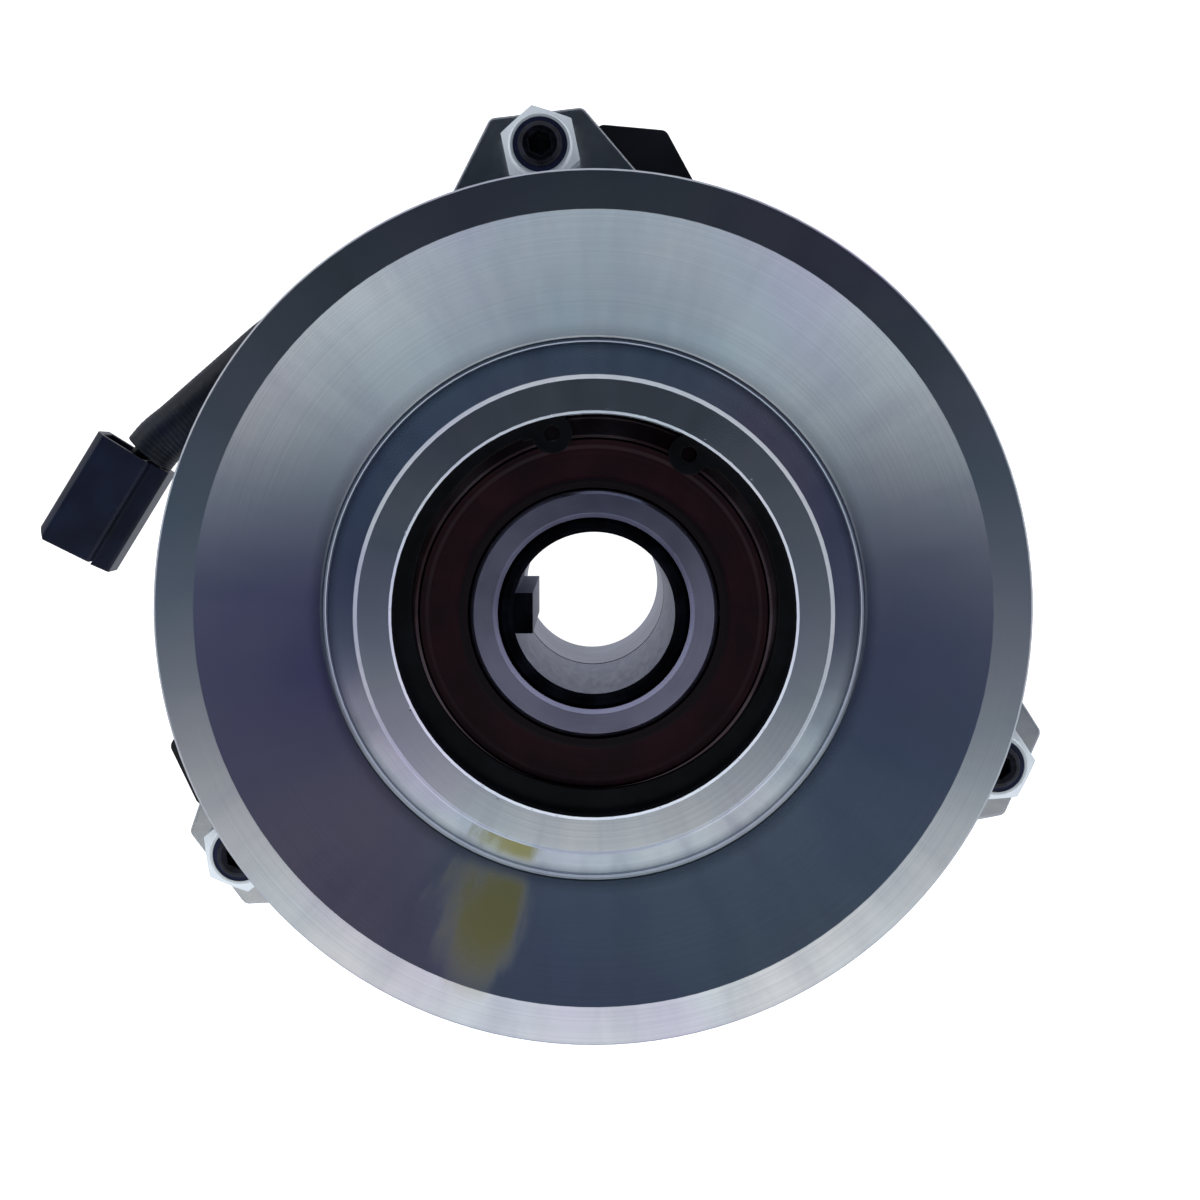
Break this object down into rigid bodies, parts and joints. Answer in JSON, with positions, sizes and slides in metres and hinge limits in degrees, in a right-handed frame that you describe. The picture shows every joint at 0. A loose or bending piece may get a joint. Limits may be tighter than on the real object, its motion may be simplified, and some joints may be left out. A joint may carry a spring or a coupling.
{
  "type": "pto clutch",
  "caption": "Electromagnetic clutch and brake with a V-belt pulley for an engine crankshaft, with leaf-sprung armature, spring-loaded brake plate on studs, and a short lead with connector.",
  "frame": {"origin": "centre of the crankshaft bore at its engine end, which is level with the back of the mounting plate", "axes": "+Z along the bore towards the pulley, -X from the axis towards the integral key, +Y towards the stud beside the torque tab"},
  "size_m": [0.1885, 0.1583, 0.0851],
  "materials": {
    "black_steel": "black paint, slightly glossy",
    "former_plastic": "natural nylon",
    "copper_wire": "enamelled copper wire",
    "resin": "dark potting resin",
    "bearing_steel": "ground steel",
    "cage_steel": "pressed steel",
    "black_rubber": "moulded, matt",
    "brown_rubber": "moulded, dark red-brown, slightly oily",
    "bare_steel": "turned steel",
    "dark_steel": "oiled dark steel",
    "spring_steel_black": "phosphated black",
    "spring_steel": "bright spring steel",
    "plated_steel": "satin zinc plating with a slight iridescence",
    "zinc_steel": "bright zinc plating",
    "zinc_nut": "bright zinc plating",
    "friction_lining": "brake lining",
    "black_oxide_steel": "black oxide",
    "blue_nylon": "dark blue nylon",
    "black_sleeve": "woven sleeve with fine cross ribs",
    "wire_insulation": "black PVC",
    "black_plastic": "moulded nylon, slightly glossy",
    "tinned_brass": "tinned brass"
  },
  "bodies": {
    "field": {"mounting_plate": "black_steel", "field_shell": "black_steel", "coil_former": "former_plastic", "coil_winding": "copper_wire", "coil_resin": "resin", "field_bearing_outer_ring": "bearing_steel", "field_bearing_seals": "black_rubber", "brake_plate": "zinc_steel", "brake_lining": "friction_lining", "brake_studs": "black_oxide_steel", "brake_springs": "spring_steel", "lock_nuts": "zinc_nut", "nut_inserts": "blue_nylon", "lead_grommet": "black_rubber", "lead_sleeve": "black_sleeve", "lead_wires": "wire_insulation", "connector_housing": "black_plastic", "connector_terminals": "tinned_brass"},
    "rotor": {"rotor_hub": "bare_steel", "hub_retaining_ring": "spring_steel_black", "rotor_disc": "bare_steel", "keyed_sleeve": "dark_steel", "field_bearing_inner_ring": "bearing_steel", "pulley_bearing_inner_ring": "bearing_steel"},
    "field_cage": {"field_bearing_balls": "bearing_steel", "field_bearing_cage": "cage_steel"},
    "pulley": {"pulley": "plated_steel", "pulley_bearing_outer_ring": "bearing_steel", "pulley_bearing_front_seal": "brown_rubber", "pulley_bearing_rear_seal": "brown_rubber", "snap_ring": "spring_steel_black", "leaf_springs": "spring_steel", "pulley_rivets": "spring_steel"},
    "pulley_cage": {"pulley_bearing_balls": "bearing_steel", "pulley_bearing_cage": "cage_steel"},
    "armature": {"armature": "bare_steel", "armature_rivets": "spring_steel"}
  },
  "joints": [
    {"name": "rotor_spin", "type": "hinge", "parent": "field", "child": "rotor", "pos_m": [0, 0, 0], "axis": [0, 0, 1], "continuous": true},
    {"name": "field_cage_spin", "type": "hinge", "parent": "field", "child": "field_cage", "pos_m": [0, 0, 0], "axis": [0, 0, 1], "continuous": true},
    {"name": "pulley_spin", "type": "hinge", "parent": "rotor", "child": "pulley", "pos_m": [0, 0, 0], "axis": [0, 0, 1], "continuous": true},
    {"name": "pulley_cage_spin", "type": "hinge", "parent": "rotor", "child": "pulley_cage", "pos_m": [0, 0, 0], "axis": [0, 0, 1], "continuous": true},
    {"name": "armature_slide", "type": "slide", "parent": "pulley", "child": "armature", "axis": [0, 0, -1], "range_m": [0, 0.0004], "stiffness_N_per_m": 40000, "springref_m": -0.0005, "deforming": ["leaf_springs"]}
  ],
  "couplings": [
    {"joint": "field_cage_spin", "follows": "rotor_spin", "ratio": 0.4171},
    {"joint": "pulley_cage_spin", "follows": "pulley_spin", "ratio": 0.6022}
  ]
}
